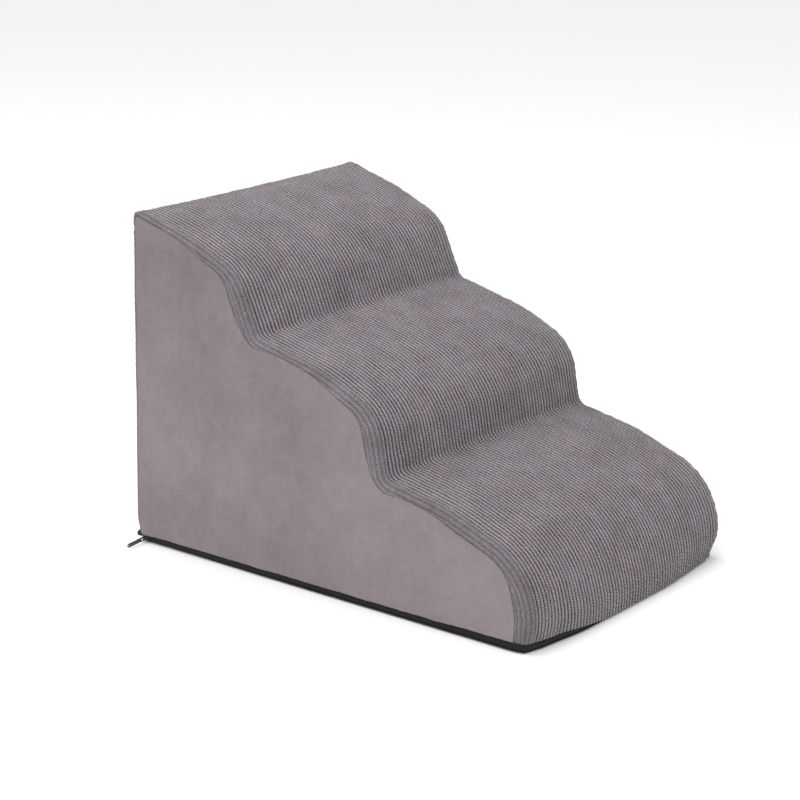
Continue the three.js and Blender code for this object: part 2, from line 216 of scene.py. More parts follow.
def roundedLine(corners, spacing=0.5 * mm):
    points, seams = [], []
    last = np.array(corners[0][:2])
    for before, corner, after in zip(corners, corners[1:], corners[2:]):
        here = np.array(corner[:2])
        arrive = here - np.array(before[:2])
        leave = np.array(after[:2]) - here
        arrive, leave = arrive / np.linalg.norm(arrive), leave / np.linalg.norm(leave)
        cross = arrive[0] * leave[1] - arrive[1] * leave[0]
        turn = math.acos(np.clip(arrive @ leave, -1, 1))
        start = here - arrive * corner[2] * math.tan(turn / 2)
        side = math.copysign(1, cross)
        centre = start + side * corner[2] * np.array([-arrive[1], arrive[0]])
        for t in np.linspace(0, 1, max(2, int(np.linalg.norm(start - last) / spacing)), endpoint=False):
            points.append(last + (start - last) * t)
            seams.append(before[3])
        count = max(3, int(turn * corner[2] / spacing))
        for k in range(count):
            angle = side * turn * k / count
            spoke = start - centre
            points.append(centre + np.array([
                spoke[0] * math.cos(angle) - spoke[1] * math.sin(angle),
                spoke[0] * math.sin(angle) + spoke[1] * math.cos(angle),
            ]))
            seams.append(before[3] if k < count / 2 else corner[3])
        last = here + leave * corner[2] * math.tan(turn / 2)
    end = np.array(corners[-1][:2])
    for t in np.linspace(0, 1, int(np.linalg.norm(end - last) / spacing)):
        points.append(last + (end - last) * t)
        seams.append(corners[-2][3])
    return np.array(points), np.array(seams) * mm


def makeOutline():
    points, seams = roundedLine(outlineCorners())
    along = np.concatenate([[0], np.cumsum(np.linalg.norm(np.diff(points, axis=0), axis=1))])
    even = np.linspace(0, along[-1], int(along[-1] / (0.5 * mm)))
    points = np.stack([np.interp(even, along, points[:, k]) for k in range(2)], axis=1)
    seams = np.interp(even, along, seams)
    reach = int(3 * outlineShape["seamEase"] / 0.5)
    window = np.exp(-0.5 * (np.arange(-reach, reach + 1) / (reach / 3)) ** 2)
    seams = np.convolve(np.pad(seams, reach, mode="edge"), window / window.sum(), mode="valid")
    rounds = np.interp(points[:, 0] - backX, np.array(outlineShape["backRoundReach"]) * mm,
                       np.array([outlineShape["backEdgeRound"], outlineShape["edgeRound"]]) * mm)
    slope = np.gradient(points, even, axis=0)
    slope /= np.linalg.norm(slope, axis=1)[:, None]
    return {"along": even, "points": points, "slope": slope, "seam": seams, "round": rounds}


outline = makeOutline()


def onOutline(key, along):
    table = outline[key]
    if table.ndim == 1:
        return np.interp(along, outline["along"], table)
    return np.stack([np.interp(along, outline["along"], table[:, k]) for k in range(2)], axis=-1)


def alongAtHeight(height, fromFront):
    # where the back or the front of the outline passes a height
    z = outline["points"][:, 1]
    hits = np.nonzero(np.diff(np.sign(z - height)))[0]
    return outline["along"][hits[-1] if fromFront else hits[0]]


def overCover(along, across):
    # point and outward normal on the cover, across being measured over the rounded edge and down the side
    point, slope = onOutline("points", along), onOutline("slope", along)
    outward = np.stack([-slope[..., 1], slope[..., 0]], axis=-1)
    turn = onOutline("round", along)
    bent = np.abs(across) - halfWidth + turn
    angle = np.clip(bent / turn, 0, math.pi / 2)
    depth = turn * (1 - np.cos(angle)) + np.maximum(bent - turn * math.pi / 2, 0)
    side = np.sign(across)
    y = side * (np.minimum(np.abs(across), halfWidth - turn) + turn * np.sin(angle))
    flat = point - outward * depth[..., None]
    normal = np.stack([outward[..., 0] * np.cos(angle), side * np.sin(angle),
                       outward[..., 1] * np.cos(angle)], axis=-1)
    return np.stack([flat[..., 0], y, flat[..., 1]], axis=-1), normal


def seamReach(along):
    # across at the seam of the side panel
    inset, turn = onOutline("seam", along), onOutline("round", along)
    curved = turn * np.arccos(np.clip(1 - inset / turn, -1, 1))
    straight = turn * math.pi / 2 + inset - turn
    return halfWidth - turn + np.where(inset < turn, curved, straight)


# slack of the cover, by cloth simulation

slackSetup = {
    "voxel": 8 * mm, "pressure": 4, "frames": 20, "cap": 2.2 * mm,
    "pinnedFromSide": 12 * mm, "pinnedFromEdge": 22 * mm, "pinnedFromFloor": 26 * mm,
    "quality": 4, "mass": 0.3, "stretch": 25, "shear": 8, "bending": 0.6,
}


def simulateSlack():
    # the cover as one closed skin, held along its seams and its hem, and blown up a little
    skin = takeCopy("foam_core", "slackSkin")
    applyModifier(skin, "REMESH", mode="VOXEL", voxel_size=slackSetup["voxel"])
    still = pointsOf(skin.data)
    line = outline["points"][::4]
    gap = np.min(np.linalg.norm(still[:, None, ::2] - line[None], axis=2), axis=1)
    nearSide = halfWidth - np.abs(still[:, 1]) < slackSetup["pinnedFromSide"]
    held = (nearSide & (gap < slackSetup["pinnedFromEdge"])) | (still[:, 2] < slackSetup["pinnedFromFloor"])
    group = skin.vertex_groups.new(name="held")
    group.add([int(i) for i in np.nonzero(held)[0]], 1.0, "REPLACE")
    cloth = skin.modifiers.new("Cloth", "CLOTH")
    cloth.settings.quality = slackSetup["quality"]
    cloth.settings.mass = slackSetup["mass"]
    cloth.settings.tension_stiffness = slackSetup["stretch"]
    cloth.settings.compression_stiffness = slackSetup["stretch"]
    cloth.settings.shear_stiffness = slackSetup["shear"]
    cloth.settings.bending_stiffness = slackSetup["bending"]
    cloth.settings.use_pressure = True
    cloth.settings.uniform_pressure_force = slackSetup["pressure"]
    cloth.settings.effector_weights.gravity = 0
    cloth.settings.vertex_group_mass = "held"
    cloth.collision_settings.use_collision = False
    cloth.point_cache.frame_end = slackSetup["frames"]
    for step in range(1, slackSetup["frames"] + 1):
        bpy.context.scene.frame_set(step)
    blown = skin.evaluated_get(bpy.context.evaluated_depsgraph_get()).to_mesh()
    moved = pointsOf(blown) - still
    bpy.context.scene.frame_set(1)
    length = np.linalg.norm(moved, axis=1)
    moved *= (slackSetup["cap"] * np.tanh(length / slackSetup["cap"]) / np.maximum(length, 1e-9))[:, None]
    bpy.data.objects.remove(skin)
    tree = KDTree(len(still))
    for index, point in enumerate(still):
        tree.insert(point, index)
    tree.balance()
    print(f"slack simulated on {len(still)} points, at most {length.max() * 1000:.1f} mm before the cap")
    return tree, moved


slack = simulateSlack()


def slackAt(points):
    flat = points.reshape(-1, 3)
    if slack is None:
        return np.zeros_like(points)
    tree, moved = slack
    out = np.zeros_like(flat)
    for index, point in enumerate(flat):
        near = tree.find_n(point, 5)
        weights = np.array([1 / (found[2] + 2 * mm) ** 2 for found in near])
        out[index] = weights @ moved[[found[1] for found in near]] / weights.sum()
    return out.reshape(points.shape)


tuckSetup = {
    "backReach": 34 * mm, "backPull": 6 * mm, "frontReach": 30 * mm, "frontPull": 5 * mm,
    "cornerReach": 42 * mm, "cornerPull": 4.5 * mm, "cornerFrom": (24 * mm, 30 * mm),
    "bowReach": 60 * mm, "bow": 9 * mm, "bowFrom": (-0.19, -0.09), "bowTo": (0.19, 0.06),
}


def tuckAt(points):
    # the sewn lower edges draw in at the back and at the front corners, and bow out between them
    x, y, z = points[..., 0], points[..., 1], points[..., 2]
    back = smoothStep(0, 1, 1 - z / tuckSetup["backReach"]) * smoothStep(60 * mm, 0, x - backX)
    front = smoothStep(0, 1, 1 - z / tuckSetup["frontReach"]) * smoothStep(12 * mm, 0, frontX - x)
    bow = smoothStep(0, 1, 1 - z / tuckSetup["bowReach"]) * smoothStep(60 * mm, 0, frontX - x)
    bow = bow * smoothStep(*tuckSetup["bowFrom"], y) * smoothStep(*tuckSetup["bowTo"], y)
    moved = np.zeros_like(points)
    moved[..., 0] = tuckSetup["backPull"] * back - tuckSetup["frontPull"] * front + tuckSetup["bow"] * bow
    reachX, reachY = tuckSetup["cornerFrom"]
    corner = np.clip(1 - (frontX - x) / reachX, 0, 1.2)
    corner = corner * np.clip(1 - (halfWidth - np.abs(y)) / reachY, 0, 1.2)
    corner = corner * smoothStep(0, 1, 1 - z / tuckSetup["cornerReach"])
    moved[..., 0] -= tuckSetup["cornerPull"] * corner
    moved[..., 1] -= tuckSetup["cornerPull"] * corner * np.sign(y)
    return moved


def settle(points):
    return points + slackAt(points) + tuckAt(points)


# cloth made from a grid

rollOut = np.array([0.25, 0.4, 0.45]) * mm
rollIn = np.array([0.4, 1.3, 3.2]) * mm


def rollEdge(points, normals, axis, atEnd, outwards=None):
    # turns one edge of the cloth inwards, as a sewn edge does
    points, normals = np.swapaxes(points, 0, axis), np.swapaxes(normals, 0, axis)
    last, inside = (-1, -2) if atEnd else (0, 1)
    edge, inner, normal = points[last], points[inside], normals[last]
    if outwards is None:
        outwards = edge - inner
    outwards = outwards / np.maximum(np.linalg.norm(outwards, axis=1), 1e-12)[:, None]
    rolled = [edge + outwards * out - normal * down for out, down in zip(rollOut, rollIn)]
    extra = [normal] * len(rolled)
    if not atEnd:
        rolled.reverse()
    rolled, extra = np.array(rolled), np.array(extra)
    points = np.concatenate([points, rolled] if atEnd else [rolled, points])
    normals = np.concatenate([normals, extra] if atEnd else [extra, normals])
    return np.swapaxes(points, 0, axis), np.swapaxes(normals, 0, axis)


def padGrid(values, rows, columns):
    return np.pad(values, (rows, columns) + ((0, 0),) * (values.ndim - 2), mode="edge")


def clothFromGrid(name, points, normals, maps):
    rows, columns = points.shape[:2]
    bpy.ops.object.select_all(action="DESELECT")
    bpy.ops.mesh.primitive_grid_add(x_subdivisions=columns - 1, y_subdivisions=rows - 1, size=1)
    piece = bpy.context.object
    piece.name = name
    mesh = piece.data
    setPoints(mesh, points.reshape(-1, 3))
    faceNormals = np.zeros(len(mesh.polygons) * 3)
    mesh.polygons.foreach_get("normal", faceNormals)
    wanted = normals[:-1, :-1].reshape(-1, 3)
    if np.sum(faceNormals.reshape(-1, 3) * wanted) < 0:
        bpy.ops.object.mode_set(mode="EDIT")
        bpy.ops.mesh.select_all(action="SELECT")
        bpy.ops.mesh.flip_normals()
        bpy.ops.object.mode_set(mode="OBJECT")
    corners = np.zeros(len(mesh.loops), np.int32)
    mesh.loops.foreach_get("vertex_index", corners)
    mesh.uv_layers[0].name = "clothMap"
    mesh.uv_layers[0].data.foreach_set("uv", maps.reshape(-1, 2)[corners].astype(np.float32).ravel())
    mesh.shade_smooth()
    return piece


# materials

def startMaterial(name, roughness, **uniform):
    material = bpy.data.materials.new(name)
    material.use_nodes = True
    shader = material.node_tree.nodes["Principled BSDF"]
    shader.inputs["Roughness"].default_value = roughness
    for key, value in uniform.items():
        shader.inputs[key.replace("_", " ")].default_value = value
    return material, material.node_tree, shader


def addNode(tree, kind, settings=None, **inputs):
    node = tree.nodes.new("ShaderNode" + kind)
    for key, value in (settings or {}).items():
        setattr(node, key, value)
    for key, value in inputs.items():
        socket = node.inputs[int(key[1:])] if key[0] == "i" and key[1:].isdigit() else node.inputs[key]
        if isinstance(value, bpy.types.NodeSocket):
            tree.links.new(value, socket)
        else:
            socket.default_value = value
    return node


def maths(tree, operation, first, second=0.0, third=0.0):
    return addNode(tree, "Math", {"operation": operation}, i0=first, i1=second, i2=third).outputs[0]


def noise(tree, place, scale, detail=2.0, roughness=0.5):
    node = addNode(tree, "TexNoise", None, Vector=place, Scale=scale, Detail=detail, Roughness=roughness)
    return node.outputs[0]


def between(tree, value, fromLow, fromHigh, low, high):
    return addNode(tree, "MapRange", None, i0=value, i1=fromLow, i2=fromHigh, i3=low, i4=high).outputs[0]


def tint(tree, amount, first, second):
    mix = addNode(tree, "Mix", {"data_type": "RGBA"}, i0=amount)
    for socket, colour in ((mix.inputs[6], first), (mix.inputs[7], second)):
        if isinstance(colour, bpy.types.NodeSocket):
            tree.links.new(colour, socket)
        else:
            socket.default_value = (*colour, 1)
    return mix.outputs[2]


def shade(tree, colour, value):
    # a colour made lighter or darker by a value round 1
    grey = addNode(tree, "CombineColor", None, i0=value, i1=value, i2=value).outputs[0]
    mix = addNode(tree, "Mix", {"data_type": "RGBA", "blend_type": "MULTIPLY"}, i0=1.0, i6=colour, i7=grey)
    return mix.outputs[2]


def finishMaterial(tree, shader, colour, height, distance, strength=1.0):
    tree.links.new(colour, shader.inputs["Base Color"])
    bump = addNode(tree, "Bump", None, Height=height, Distance=distance, Strength=strength)
    tree.links.new(bump.outputs[0], shader.inputs["Normal"])


mapMiddle = 200.0  # the cloth map's middle, in wales, which keeps its values above 0
ribLook = {
    # the groove colour is painted shade, laid into the grooves between the wales
    "crest": (0.285, 0.262, 0.286), "warm": (0.300, 0.255, 0.280), "grooveShade": (0.022, 0.018, 0.022),
    "fleck": (0.085, 0.074, 0.085), "kernel": 0.28, "mottle": 0.12, "pile": 0.5 * mm,
    "border": (31.9, 33.6), "borderShade": 0.62,  # wales from the middle, and the tone beyond them
}


def makeRibbedPlush():
    material, tree, shader = startMaterial("ribbedPlush", 0.95, Sheen_Weight=0.25, Sheen_Roughness=0.5,
                                           Specular_IOR_Level=0.15)
    place = addNode(tree, "TexCoord").outputs["Object"]
    cloth = addNode(tree, "SeparateXYZ", None, i0=addNode(tree, "UVMap", {"uv_map": "clothMap"}).outputs[0])
    wobble = maths(tree, "MULTIPLY_ADD", noise(tree, place, 55.0), 0.16, -0.08)
    ribs = maths(tree, "ADD", cloth.outputs[0], wobble)
    offCrest = maths(tree, "MULTIPLY", maths(tree, "ABSOLUTE", maths(
        tree, "SUBTRACT", maths(tree, "FRACT", ribs), 0.5)), 2.0)
    offMiddle = maths(tree, "ABSOLUTE", maths(tree, "SUBTRACT", ribs, mapMiddle))
    ribbed = between(tree, offMiddle, *ribLook["border"], 1.0, 0.0)
    # how much painted shade the grooves between the wales get, less beyond the border
    grooveShadeAmount = maths(tree, "MULTIPLY", between(tree, offCrest, 0.30, 0.93, 0.0, 1.0),
                    maths(tree, "MULTIPLY_ADD", ribbed, 0.58, 0.42))
    ribNumber = maths(tree, "FLOOR", ribs)
    ownRib = addNode(tree, "TexWhiteNoise", {"noise_dimensions": "1D"}, W=ribNumber).outputs[0]
    stagger = maths(tree, "MULTIPLY_ADD", ownRib, 5.0, cloth.outputs[1])
    ragged = maths(tree, "MULTIPLY_ADD", noise(tree, place, 160.0), 0.9, stagger)
    kernel = maths(tree, "MULTIPLY_ADD", maths(
        tree, "SINE", maths(tree, "MULTIPLY", ragged, 2 * math.pi)), 0.5, 0.5)
    fibres = noise(tree, place, 700.0, 3.0, 0.7)
    mottle = noise(tree, place, 24.0, 3.0, 0.6)
    patches = noise(tree, place, 30.0, 2.0)
    colour = tint(tree, between(tree, patches, 0.4, 0.62, 0.0, 1.0), ribLook["crest"], ribLook["warm"])
    colour = tint(tree, between(tree, fibres, 0.38, 0.66, 0.0, 0.8), colour, ribLook["fleck"])
    # lay the painted groove shade over the cloth colour
    colour = tint(tree, grooveShadeAmount, colour, ribLook["grooveShade"])
    grain = maths(tree, "MULTIPLY_ADD", maths(tree, "SUBTRACT", kernel, 0.6), maths(
        tree, "MULTIPLY", ribbed, 1.5 * ribLook["kernel"]), maths(
        tree, "MULTIPLY_ADD", ribbed, 1 - ribLook["borderShade"], ribLook["borderShade"]))
    light = maths(tree, "ADD", grain,
                  between(tree, mottle, 0.3, 0.7, -ribLook["mottle"], ribLook["mottle"]))
    colour = shade(tree, colour, light)
    height = maths(tree, "ADD", maths(tree, "MULTIPLY", kernel, 0.5), maths(tree, "MULTIPLY", fibres, 0.7))
    finishMaterial(tree, shader, colour, height, ribLook["pile"])
    return material


plushLook = {
    "light": (0.190, 0.163, 0.177), "dark": (0.132, 0.112, 0.123),
    "cloud": 6.0, "brushed": 42.0, "pile": 0.12 * mm,
    "paintedLightByHeight": 0.16,  # painted light: how much lighter the panel is painted towards the floor, and darker towards the top
}


def makeSmoothPlush():
    material, tree, shader = startMaterial("smoothPlush", 0.95, Sheen_Weight=0.2, Sheen_Roughness=0.5,
                                           Specular_IOR_Level=0.12)
    place = addNode(tree, "TexCoord").outputs["Object"]
    cloud = noise(tree, place, plushLook["cloud"], 4.0, 0.55)
    brushed = noise(tree, place, plushLook["brushed"], 3.0, 0.6)
    pile = noise(tree, place, 1400.0, 2.0, 0.6)
    grain = noise(tree, place, 420.0, 2.0, 0.6)
    amount = maths(tree, "ADD", between(tree, cloud, 0.36, 0.64, 0.0, 0.55),
                   between(tree, brushed, 0.35, 0.65, 0.0, 0.25))
    amount = maths(tree, "ADD", amount, between(tree, noise(tree, place, 150.0), 0.35, 0.65, 0.0, 0.2))
    height = addNode(tree, "SeparateXYZ", None, i0=place).outputs[2]
    # painted light: lighter towards the floor and darker towards the top
    paintedLightByHeight = between(tree, height, 0.02, 0.38, plushLook["paintedLightByHeight"], -plushLook["paintedLightByHeight"])
    amount = maths(tree, "ADD", amount, paintedLightByHeight)
    colour = tint(tree, amount, plushLook["dark"], plushLook["light"])
    light = maths(tree, "ADD", between(tree, pile, 0.3, 0.7, 0.93, 1.07),
                  between(tree, grain, 0.3, 0.7, -0.05, 0.05))
    height = maths(tree, "ADD", pile, maths(tree, "MULTIPLY", grain, 0.8))
    finishMaterial(tree, shader, shade(tree, colour, light), height, plushLook["pile"], 0.8)
    return material


def makeWovenBlack(name, dark, light, threadSize, roughness):
    # plain weave: over-and-under threads along X or Y, and up
    material, tree, shader = startMaterial(name, roughness, Specular_IOR_Level=0.3)
    place = addNode(tree, "TexCoord").outputs["Object"]
    parts = addNode(tree, "SeparateXYZ", None, i0=place)
    run = maths(tree, "ADD", parts.outputs[0], parts.outputs[1])
    lift = maths(tree, "SUBTRACT", parts.outputs[2], maths(tree, "MULTIPLY", parts.outputs[1], 0.35))
    warp = maths(tree, "SINE", maths(tree, "MULTIPLY", run, 2 * math.pi / threadSize))
    weft = maths(tree, "SINE", maths(tree, "MULTIPLY", lift, 2 * math.pi / threadSize))
    weave = maths(tree, "MULTIPLY_ADD", maths(tree, "MULTIPLY", warp, weft), 0.5, 0.5)
    fuzz = noise(tree, place, 900.0, 2.0, 0.6)
    colour = tint(tree, maths(tree, "MULTIPLY", weave, fuzz), dark, light)
    finishMaterial(tree, shader, colour, maths(tree, "ADD", weave, fuzz), threadSize * 0.3)
    return material


def makeSmoothBlack(name, colour, wear, roughness, scale, **uniform):
    # moulded or enamelled black with faint cloudy gloss and rubbed spots
    material, tree, shader = startMaterial(name, roughness, **uniform)
    place = addNode(tree, "TexCoord").outputs["Object"]
    rubbed = noise(tree, place, scale, 4.0, 0.65)
    tone = tint(tree, between(tree, rubbed, 0.55, 0.75, 0.0, 1.0), colour, wear)
    tree.links.new(between(tree, rubbed, 0.3, 0.7, roughness * 0.8, min(1.0, roughness * 1.3)),
                   shader.inputs["Roughness"])
    finishMaterial(tree, shader, tone, rubbed, 0.02 * mm)
    return material


def makeFoam():
    material, tree, shader = startMaterial("creamFoam", 0.9, Specular_IOR_Level=0.2)
    place = addNode(tree, "TexCoord").outputs["Object"]
    cells = addNode(tree, "TexVoronoi", None, Vector=place, Scale=650.0).outputs[0]
    blotch = noise(tree, place, 12.0, 3.0)
    colour = tint(tree, blotch, (0.80, 0.73, 0.58), (0.72, 0.64, 0.48))
    colour = shade(tree, colour, between(tree, cells, 0.0, 0.6, 0.8, 1.05))
    finishMaterial(tree, shader, colour, cells, 0.4 * mm)
    return material


def makeThread():
    material, tree, shader = startMaterial("sewingThread", 0.75, Specular_IOR_Level=0.3)
    place = addNode(tree, "TexCoord").outputs["Object"]
    parts = addNode(tree, "SeparateXYZ", None, i0=place)
    run = maths(tree, "ADD", maths(tree, "ADD", parts.outputs[0], parts.outputs[1]), parts.outputs[2])
    turns = maths(tree, "SINE", maths(tree, "MULTIPLY", run, 2 * math.pi / (0.5 * mm)))
    twist = maths(tree, "MULTIPLY_ADD", turns, 0.5, 0.5)
    colour = tint(tree, twist, (0.12, 0.11, 0.12), (0.26, 0.24, 0.26))
    finishMaterial(tree, shader, colour, twist, 0.1 * mm)
    return material


finishes = {
    "ribbedPlush": makeRibbedPlush(),
    "smoothPlush": makeSmoothPlush(),
    "baseCloth": makeWovenBlack("baseCloth", (0.020, 0.019, 0.021), (0.075, 0.072, 0.078), 1.1 * mm, 0.85),
    "tapeCloth": makeWovenBlack("tapeCloth", (0.012, 0.012, 0.014), (0.05, 0.05, 0.055), 0.7 * mm, 0.8),
    "nylon": makeSmoothBlack("nylon", (0.010, 0.010, 0.013), (0.022, 0.022, 0.026), 0.42, 300.0),
    "rubber": makeSmoothBlack("rubber", (0.035, 0.035, 0.037), (0.07, 0.07, 0.072), 0.5, 200.0),
    "enamel": makeSmoothBlack("enamel", (0.014, 0.014, 0.016), (0.06, 0.058, 0.056), 0.33, 500.0,
                              Coat_Weight=0.3),
    "foam": makeFoam(),
    "thread": makeThread(),
}


def wear(piece, finish, slotName, body="ramp"):
    piece.data.materials.clear()
    piece.data.materials.append(finishes[finish])
    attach(piece, body)


# ribbed top panel

ribbedTop = {
    "pitch": 5.8 * mm, "wales": 64, "depth": 2.0 * mm, "rowStep": 2.85 * mm,
    "kernelDepth": 0.4 * mm, "edgeColumns": 15, "edgeFade": 0.34, "lump": 0.5 * mm,
    "seamDip": 0.9 * mm, "kernelLength": 3.0 * mm, "seed": 11,
}
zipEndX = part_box("zip_tape_upper")[0].x
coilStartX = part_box("zip_coil_upper")[0].x
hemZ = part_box("ribbed_top_panel")[0].z
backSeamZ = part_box("back_panel")[1].z
hemSetup = {"frontLift": 1.6 * mm, "droop": 8.0 * mm, "droopFrom": (-0.15, -0.04), "droopTo": (0.198, 0.17),
            "wave": 0.5 * mm, "pucker": 0.8 * mm, "puckerReach": 16 * mm, "creaseEvery": 21 * mm,
            "bunch": 1.1 * mm}


def ribHeight(across):
    # how far below the crest of its wale the pile lies, 0 on the crest and 1 in the groove
    ribs = across / ribbedTop["pitch"]
    offGroove = np.abs(ribs - np.round(ribs)) * 2
    return 1 - np.sqrt(np.clip(1 - (1 - offGroove) ** 2, 0, 1))


def makeRibbedTop():
    half = ribbedTop["pitch"] * ribbedTop["wales"] / 2
    steps = np.array([0, 0.17, 0.5, 0.83])
    middle = (np.arange(ribbedTop["wales"])[:, None] + steps[None]).ravel() * ribbedTop["pitch"] - half
    middle = np.append(middle, half)
    start = alongAtHeight(backSeamZ, False)
    end = alongAtHeight(hemZ, True)
    along = np.linspace(start, end, int((end - start) / ribbedTop["rowStep"]) + 1)
    share = np.linspace(0, 1, ribbedTop["edgeColumns"] + 1)[1:]
    edge = half + (seamReach(along)[:, None] - seamGap - half) * share[None]
    across = np.concatenate([-edge[:, ::-1], np.repeat(middle[None], len(along), axis=0), edge], axis=1)
    alongs = np.repeat(along[:, None], across.shape[1], axis=1)
    points, normals = overCover(alongs, across)
    draw = np.random.default_rng(ribbedTop["seed"])
    fade = 1 - (1 - ribbedTop["edgeFade"]) * smoothStep(flatHalf - 6 * mm, flatHalf + 7 * mm, np.abs(across))
    wale = np.floor(across / ribbedTop["pitch"]).astype(int)
    odd = (np.arange(len(along))[:, None] + wale) % 2
    kernels = odd * ribbedTop["kernelDepth"] * draw.uniform(0.3, 1.0, across.shape)
    lumps = ribbedTop["lump"] * (wander(points, 34 * mm, 3) * 0.5 + wander(points, 13 * mm, 4) * 0.35)
    onEdge = smoothStep(flatHalf - 4 * mm, flatHalf + 5 * mm, np.abs(across))
    tufts = 0.45 * mm * wander(points, 8 * mm, 6) + 0.25 * mm * draw.uniform(-1, 1, across.shape)
    lumps = lumps + onEdge * tufts
    sunk = ribbedTop["depth"] * ribHeight(across) * fade + kernels * fade
    dip = ribbedTop["seamDip"] * smoothStep(4 * mm, 0, seamReach(alongs) - np.abs(across))
    heights = lumps - sunk - dip
    low = smoothStep(26 * mm, 0, points[..., 2] - hemZ) * (points[..., 0] > 0)
    droop = smoothStep(*hemSetup["droopFrom"], points[..., 1])
    droop = droop * smoothStep(*hemSetup["droopTo"], points[..., 1])
    rise = hemSetup["frontLift"] * smoothStep(hemSetup["droopFrom"][0], -halfWidth * 0.96, points[..., 1])
    points[..., 2] += low * (rise - hemSetup["droop"] * droop)
    points[..., 0] += 1.3 * mm * low * droop
    maps = np.stack([across / ribbedTop["pitch"] + mapMiddle, alongs / ribbedTop["kernelLength"]], axis=-1)
    for axis in (0, 1):
        for atEnd in (False, True):
            points, normals = rollEdge(points, normals, axis, atEnd)
    heights = padGrid(heights, (3, 3), (3, 3))
    maps = padGrid(maps, (3, 3), (3, 3))
    points = points + normals * heights[..., None]
    piece = clothFromGrid("ribbedTop", settle(points), normals, maps)
    wear(piece, "ribbedPlush", "ribbed_cloth")
    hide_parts("ribbed_top_panel")


# side panels

sidePanel = {"rows": 90, "columns": 260, "sag": 0.35 * mm, "areaShare": 0.62}
seamGap = 0.35 * mm  # how far each edge stays from the seam line


def hemLine(x):
    # height of the side panel's lower edge
    wave = hemSetup["wave"] * (0.5 + 0.5 * wander(x[..., None], 70 * mm, 21))
    return hemZ + wave + hemSetup["frontLift"] * smoothStep(0.12, 0.26, x)


def edgeDepth(x, z):
    # distance from a point of the side view to the outline, as a share of the edge's rounding there
    line, rounds = outline["points"][::3], outline["round"][::3]
    share, turn = np.zeros(x.shape), np.zeros(x.shape)
    for row in range(x.shape[0]):
        gap = ((np.stack([x[row], z[row]], axis=-1)[:, None] - line[None]) ** 2).sum(axis=2)
        near = gap.argmin(axis=1)
        turn[row] = rounds[near]
        share[row] = np.clip(np.sqrt(gap.min(axis=1)) / turn[row], 0, 1)
    return share, turn


def makeSidePanel(name, node, side):
    seam = outline["points"] - np.stack([-outline["slope"][:, 1], outline["slope"][:, 0]], axis=1) \
        * outline["seam"][:, None]
    topStart = int(np.argmax(seam[:, 0] > seam[0, 0] + 0.3 * mm))
    seam -= np.stack([-outline["slope"][:, 1], outline["slope"][:, 0]], axis=1) * seamGap
    frontCorner = int(np.nonzero(seam[:, 1] > hemZ + hemSetup["frontLift"] + 1.5 * mm)[0][-1])
    count, rows = sidePanel["columns"], sidePanel["rows"]
    pick = np.linspace(topStart, frontCorner, count)
    index = np.arange(len(seam))
    top = np.stack([np.interp(pick, index, seam[:, k]) for k in range(2)], axis=1)
    endX = top[-1, 0] + 0.4 * mm
    topX = np.maximum.accumulate(top[:, 0])
    bottomX = np.interp(topX, [topX[0], topX[-1]], [seam[0, 0], endX])
    bottom = np.stack([bottomX, hemLine(bottomX)], axis=1)
    lower = (1 - np.cos(np.linspace(0, math.pi, rows))) / 2  # closer together at the hem and at the seam
    v = 0.6 * lower + 0.4 * np.linspace(0, 1, rows)
    left = bottom[0] + (top[0] - bottom[0]) * v[:, None]
    right = bottom[-1] + (top[-1] - bottom[-1]) * v[:, None]
    u = np.linspace(0, 1, count)[None, :, None]
    w = v[:, None, None]
    flat = (1 - w) * bottom[None] + w * top[None] + (1 - u) * left[:, None] + u * right[:, None]
    flat -= (1 - u) * ((1 - w) * bottom[0] + w * top[0]) + u * ((1 - w) * bottom[-1] + w * top[-1])
    x, z = flat[..., 0], flat[..., 1]
    depth, turn = edgeDepth(x, z)
    y = halfWidth - turn + turn * np.sqrt(1 - (1 - depth) ** 2)
    rise = z - hemLine(x)
    drift = 0.8 * wander(x[..., None], 90 * mm, 31 + side)
    crease = np.sin(2 * math.pi * (x / hemSetup["creaseEvery"] + drift))
    pucker = hemSetup["pucker"] * np.exp(-rise / hemSetup["puckerReach"]) * (0.35 + 0.65 * crease)
    pucker *= 0.4 + 0.6 * smoothStep(-0.4, 0.6, wander(x[..., None], 160 * mm, 40 + side))
    ripple = sidePanel["sag"] * (wander(flat, 75 * mm, 7) * 0.6 + wander(flat, 28 * mm, 8) * 0.25)
    if side < 0:
        bunched = np.exp(-rise / (7 * mm) - ((x - coilStartX - 6 * mm) / (14 * mm)) ** 2)
        pucker = pucker + hemSetup["bunch"] * bunched
    points = np.stack([x, side * (y + pucker + ripple), z], axis=-1)
    slope = outline["slope"]
    upwards = np.stack([np.interp(pick, index, -slope[:, 1]), np.zeros(count),
                        np.interp(pick, index, slope[:, 0])], axis=1)
    normals = np.zeros(points.shape) + [0, side, 0]
    points, normals = rollEdge(points, normals, 0, True, upwards)
    points, normals = rollEdge(points, normals, 0, False, np.repeat([[0.0, 0.0, -1.0]], count, axis=0))
    points, normals = rollEdge(points, normals, 1, False, np.repeat([[-1.0, 0.0, 0.0]], rows + 6, axis=0))
    maps = padGrid(flat, (3, 3), (3, 0))
    piece = clothFromGrid(name, settle(points), normals, maps)
    wear(piece, "smoothPlush", "plush_cloth")
    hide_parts(node)
    print(f"{name}: {len(piece.data.polygons)} faces")


# back panel

backPanel = {"rows": 90, "columns": 100, "ripple": 0.4 * mm}


